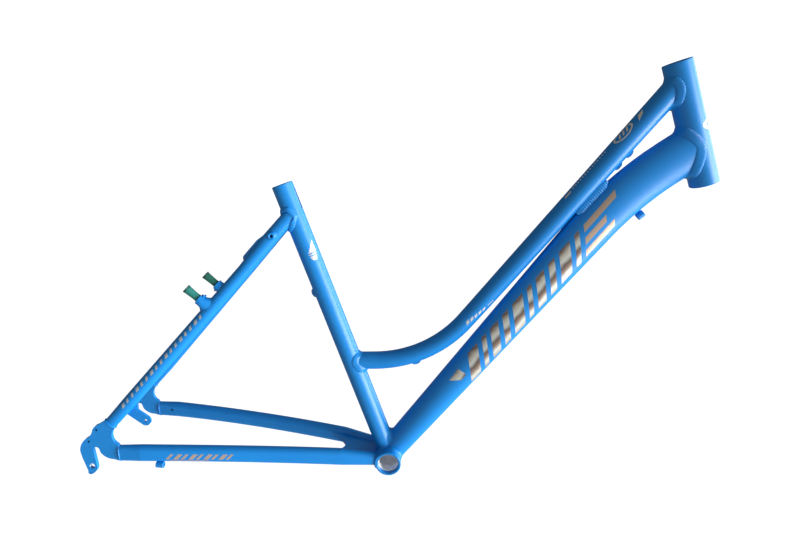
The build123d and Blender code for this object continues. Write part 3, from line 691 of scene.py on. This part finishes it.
def press(mesh, tree, grid, origin, run, facing, wrap=None):
    """Lays a flat grid on the surface as a thin closed film.

    It comes straight from the front, or bent round the tube when wrap gives the tube's radius.
    """
    rows, wrapped = grid
    up = facing.cross(run).normalized()
    top, bottom = [], []
    for row in rows:
        upper, lower = [], []
        for flat in row:
            toward = Matrix.Rotation(flat.y * MM / wrap, 3, run) @ facing if wrap else facing
            aside = Vector() if wrap else up * flat.y * MM
            start = origin + run * flat.x * MM + aside + toward * FOIL_START
            hit, normal, _, _ = tree.ray_cast(start, -toward, 2 * FOIL_START)
            if hit is None:
                return
            if normal.dot(toward) < 0:
                normal = -normal
            upper.append(mesh.verts.new(hit + normal * FOIL_LIFT))
            lower.append(mesh.verts.new(hit - normal * FOIL_ROOT))
        top.append(upper)
        bottom.append(lower)
    count = len(top[0])
    spans = count if wrapped else count - 1
    for j in range(len(top) - 1):
        for i in range(spans):
            k = (i + 1) % count
            mesh.faces.new((top[j][i], top[j][k], top[j + 1][k], top[j + 1][i]))
            mesh.faces.new((bottom[j][i], bottom[j + 1][i], bottom[j + 1][k], bottom[j][k]))
    for i in range(spans):
        k = (i + 1) % count
        mesh.faces.new((top[0][i], bottom[0][i], bottom[0][k], top[0][k]))
        mesh.faces.new((top[-1][i], top[-1][k], bottom[-1][k], bottom[-1][i]))
    if not wrapped:
        for j in range(len(top) - 1):
            mesh.faces.new((top[j][0], top[j + 1][0], bottom[j + 1][0], bottom[j][0]))
            mesh.faces.new((top[j][-1], bottom[j][-1], bottom[j + 1][-1], top[j + 1][-1]))


def graphic(name, host, origin, run, facing, grids, material, wrap=None):
    """A foil graphic made of several grids on one tube."""
    tree = surface_of([host])
    facing = (facing - run * facing.dot(run)).normalized()
    mesh = bmesh.new()
    for grid in grids:
        press(mesh, tree, grid, origin, run, facing, wrap)
    # A disc's innermost points all fall on its centre.
    bmesh.ops.remove_doubles(mesh, verts=mesh.verts, dist=1e-6)
    return piece_from(name, mesh, material)


def slant(start, width, low, high, lean):
    """A bar across the tube, leaning along it."""
    return quad_grid([
        (start + lean * low, low), (start + width + lean * low, low),
        (start + width + lean * high, high), (start + lean * high, high),
    ])


# The chrome, bronze and silver stops hold light and dark bands: painted reflection on the printed foil.
CHROME = [
    (0.0, (0.50, 0.40, 0.32)),
    (0.14, (0.16, 0.09, 0.07)),
    (0.28, (0.72, 0.66, 0.56)),
    (0.42, (0.80, 0.82, 0.74)),
    (0.56, (0.09, 0.05, 0.04)),
    (0.68, (0.30, 0.18, 0.13)),
    (0.82, (0.82, 0.82, 0.74)),
    (1.0, (0.45, 0.38, 0.30)),
]
BRONZE = [(0.0, (0.66, 0.46, 0.34)), (0.5, (0.92, 0.76, 0.62)), (1.0, (0.58, 0.40, 0.28))]
WHITE = [(0.0, (0.52, 0.55, 0.57)), (1.0, (0.56, 0.59, 0.61))]
CREAM = [(0.0, (1.0, 0.95, 0.82)), (1.0, (0.98, 0.88, 0.72))]
SILVER = [(0.0, (0.80, 0.80, 0.80)), (0.5, (0.95, 0.95, 0.95)), (1.0, (0.70, 0.70, 0.72))]

down_middle = DOWN_FOOT + DOWN_UP * 0.35
chrome = foil("chrome_foil", down_middle, SIDE.cross(DOWN_UP), 0.042, CHROME)
bronze = foil("bronze_foil", down_middle, DOWN_UP, 0.12, BRONZE)
silver = foil("silver_foil", ORIGIN, SEAT_AXIS, 0.03, SILVER, roughness=0.4)
white = foil("white_foil", HEAD_FOOT, SEAT_AXIS, 0.05, WHITE, roughness=0.5)
cream = foil("cream_foil", HEAD_FOOT, SEAT_AXIS, 0.05, CREAM, roughness=0.5)


def turned_over(grids):
    """The same flat shapes for the left side, where up and down change places."""
    return [([[Vector((p.x, -p.y)) for p in row] for row in rows], wrapped) for rows, wrapped in grids]


def sided_graphic(name, host, origin, run, grids, material, lift=0.0):
    """A graphic on the right side of the frame and its mirror image on the left."""
    for side, label in SIDES:
        facing = SIDE * side + Vector((-run.z, 0, run.x)) * lift
        node = host + label if host.endswith("_") else host
        shapes = grids if side < 0 else turned_over(grids)
        graphic(f"{name}_{label}", node, mirrored(origin, side), mirrored(run, side), facing,
                shapes, material)


# A dart and slanted bars of uneven width climb the side of the down tube and end in streaks.
BAR_LEAN = 0.9
BAR_WIDTHS = (23, 10, 18, 13)
BAR_GAP = 10
bars = [quad_grid([(-178, 11), (-164, -3), (-152, -2), (-154, 13)])]
reach = -141
for i in range(10):
    width = BAR_WIDTHS[i % len(BAR_WIDTHS)]
    bars.append(slant(reach, width, -20, 17, BAR_LEAN))
    reach += width + BAR_GAP
sided_graphic("graphic_down_tube", "down_tube", down_middle, DOWN_UP, bars, chrome)
streaks = [
    slant(reach, 66, 9, 17, BAR_LEAN),
    slant(reach, 44, -5, 3, BAR_LEAN),
    slant(reach, 60, -19, -11, BAR_LEAN),
]
sided_graphic("graphic_streaks", "down_tube", down_middle, DOWN_UP, streaks, bronze)

# The same pattern, small, with a thin line under it, on the chainstays.
chain_run = Vector((0.992, 0.115, -0.08)).normalized()
chain_bars = [slant(-46 + 11.4 * i, 7 if i % 2 else 4.5, -8, 1, BAR_LEAN) for i in range(9)]
chain_bars.append(quad_grid([(-50, -10.4), (10, -11.2), (14, -9.6), (-46, -9.2)]))
sided_graphic("graphic_chainstay", "chainstay_", point(-290, -60, 41), chain_run, chain_bars, bronze)

# A row of small lozenges up the seat stays.
LOZENGES = 17
LOZENGE_STEP = 11.4
lozenges = []
for i in range(LOZENGES):
    start = LOZENGE_STEP * (i - LOZENGES / 2) - 10
    width = 4.4 if i % 3 else 6.0
    lozenges.append(slant(start, width, -2.6, 2.6, 0.5))
stay_middle = STAY_TOP.lerp(STAY_FOOT, 0.665)
sided_graphic("graphic_seatstay", "seatstay_", stay_middle, -STAY_RUN, lozenges, silver, lift=0.35)

# Top tube: small slanted dashes on the swoop, an oval ring with bars, dots and two pale tips.
swoop_face = Vector((0.25, -0.93, -0.22))
dashes = [slant(-26 + 9 * i, 6, 1.5 - 1.2 * i, 6 - 1.5 * i, 0.8) for i in range(5)]
dashes.append(quad_grid([(19, -3.4), (31, -4.4), (32, -3.2), (20, -1.8)]))
graphic("graphic_swoop", "top_tube", point(141, 0, 249.8), TOP_UP, swoop_face, dashes, silver)
badge_face = Vector((-0.62, -0.55, 0.55))
badge = [ring_grid((0, 1.5), 6.4, 7.8, stretch=2.3)]
badge += [slant(-9 + 7 * i, 3.4, -1.7, 4.7, 0.7) for i in range(3)]
graphic("graphic_badge", "top_tube", point(357, 0, 502.8), TOP_UP, badge_face, badge, cream)
graphic("graphic_upper_tip", "top_tube", point(368, 0, 515.6), TOP_UP, badge_face,
        [quad_grid([(8, -5), (20, -1), (24, 4), (14, 3)])], cream)
dot_face = Vector((-0.68, -0.44, 0.58))
dot_start = point(283, 0, 416)
graphic("graphic_lower_tip", "top_tube", dot_start, TOP_UP, dot_face,
        [quad_grid([(-6, -1.5), (6, -1.5), (10, 1.5), (-3, 1.2)])], cream)
dots = [ring_grid((14 + 5 * i, 1.5), 0.0, 1.3, count=12) for i in range(14)]
graphic("graphic_dots", "top_tube", dot_start, TOP_UP, dot_face, dots, cream)

# Seat tube: a sail, a line and a hull; head tube: a pale oval in a ring on the front.
seat_mark = SEAT_AXIS * 0.3685
sail = [
    quad_grid([(-5, -6.5), (-5, 6.5), (13, -5.8), (13, -6.5)]),
    quad_grid([(-8.4, -6.5), (-6.8, -6.5), (-6.8, 6.5), (-8.4, 6.5)]),
    quad_grid([(-10.2, -6), (-10.2, 6), (-17, 3), (-17, -3)]),
]
sided_graphic("graphic_seat_tube", "seat_tube", seat_mark, SEAT_AXIS, sail, silver, lift=-0.6)
head_badge = [
    ring_grid((0, 0), 0.0, 15.0, stretch=0.36),
    ring_grid((0, 0), 17.5, 25.5, count=64, stretch=0.36),
]
graphic("graphic_head_badge", "head_tube", HEAD_FOOT + SEAT_AXIS * 84 * MM, SEAT_AXIS, slope(18),
        head_badge, white, wrap=HEAD_RADIUS)

# Camera, light and floor ----------------------------------------------------------------------
# The camera's place, turn and lens were solved from the photograph's outline.
CAMERA_PLACE = point(55.56, -833.26, 533.5)
CAMERA_TURN = (-14.32, 1.40, 1.67)  # degrees
CAMERA_LENS = 25.306  # millimetres, as the sensor's width is
camera_data = bpy.data.cameras.new("camera")
camera_data.sensor_width = 36
camera_data.lens = CAMERA_LENS
camera_data.clip_end = 30
camera = bpy.data.objects.new("camera", camera_data)
tilt = Euler([radians(turn) for turn in CAMERA_TURN], "XYZ").to_matrix()
aim = tilt @ Matrix.Rotation(radians(90), 3, "X")
camera.matrix_world = Matrix.Translation(CAMERA_PLACE) @ aim.to_4x4()
bpy.context.scene.collection.objects.link(camera)
bpy.context.scene.camera = camera


def soft_sun(name, heading, strength, spread, colour):
    """A wide, even light from far away, arriving from this direction."""
    data = bpy.data.lights.new(name, "SUN")
    data.energy = strength
    data.angle = radians(spread)
    data.color = colour
    light = bpy.data.objects.new(name, data)
    light.rotation_euler = Vector(heading).to_track_quat("Z", "Y").to_euler()
    bpy.context.scene.collection.objects.link(light)


# A tall window in front of the frame, a little to the drive side and low down.
soft_sun("window", (0.92, -0.31, -0.20), 5.2, 50, (0.96, 0.98, 1.0))
soft_sun("far_window", (0.92, 0.40, 0.0), 1.35, 45, (1.0, 1.0, 0.97))

# The rest of the studio is dim, and dimmest above and behind the frame.
BRIGHT_SIDE = Vector((0.60, -0.55, -0.50)).normalized()
STUDIO_LEVEL = 0.27
STUDIO_CONTRAST = 0.17
world = bpy.data.worlds.new("studio")
world.use_nodes = True
links = world.node_tree.links
heading = world.node_tree.nodes.new("ShaderNodeTexCoord")
toward = world.node_tree.nodes.new("ShaderNodeVectorMath")
toward.operation = "DOT_PRODUCT"
toward.inputs[1].default_value = BRIGHT_SIDE
links.new(heading.outputs["Generated"], toward.inputs[0])
level = world.node_tree.nodes.new("ShaderNodeMath")
level.operation = "MULTIPLY_ADD"
level.inputs[1].default_value = STUDIO_CONTRAST
level.inputs[2].default_value = STUDIO_LEVEL
links.new(toward.outputs["Value"], level.inputs[0])
studio = world.node_tree.nodes["Background"]
studio.inputs["Color"].default_value = (0.98, 1.0, 0.97, 1)
links.new(level.outputs[0], studio.inputs["Strength"])
bpy.context.scene.world = world

FLOOR_LEVEL = cad_box[0][2] - 0.5 * MM
FLOOR_FRONT = -4.0
FLOOR_HALF_WIDTH = 6
BACK_DISTANCE = 2.4
BACK_HEIGHT = 5.0
BACK_CURVE = 1.2
CURVE_STEPS = 24
sweep = bmesh.new()
profile = [(FLOOR_FRONT, 0.0), (BACK_DISTANCE - BACK_CURVE, 0.0)]
for i in range(1, CURVE_STEPS + 1):
    angle = radians(90 * i / CURVE_STEPS)
    profile.append((BACK_DISTANCE - BACK_CURVE + BACK_CURVE * sin(angle), BACK_CURVE * (1 - cos(angle))))
profile.append((BACK_DISTANCE, BACK_HEIGHT))
edges = (-FLOOR_HALF_WIDTH, FLOOR_HALF_WIDTH)
rows = [[sweep.verts.new((x, y, FLOOR_LEVEL + z)) for y, z in profile] for x in edges]
for i in range(len(profile) - 1):
    sweep.faces.new((rows[0][i], rows[0][i + 1], rows[1][i + 1], rows[1][i]))
floor_data = bpy.data.meshes.new("floor")
sweep.to_mesh(floor_data)
sweep.free()
for face in floor_data.polygons:
    face.use_smooth = True
floor = bpy.data.objects.new("floor", floor_data)
bpy.context.scene.collection.objects.link(floor)
paper = Nodes("pale_paper")
paper.set(Base_Color=paper.mix(paper.noise(3), (0.30, 0.30, 0.30), (0.32, 0.32, 0.32)), Roughness=0.9)
paper.set(Emission_Color=(1, 1, 1, 1), Emission_Strength=1.0, Specular_IOR_Level=0.1)
floor_data.materials.append(paper.material)
# The paper is a backdrop only: the light on the frame comes from the studio.
floor.visible_diffuse = False
floor.visible_glossy = False
floor.visible_shadow = False

bpy.context.scene.view_settings.view_transform = "Standard"
bpy.context.view_layer.update()
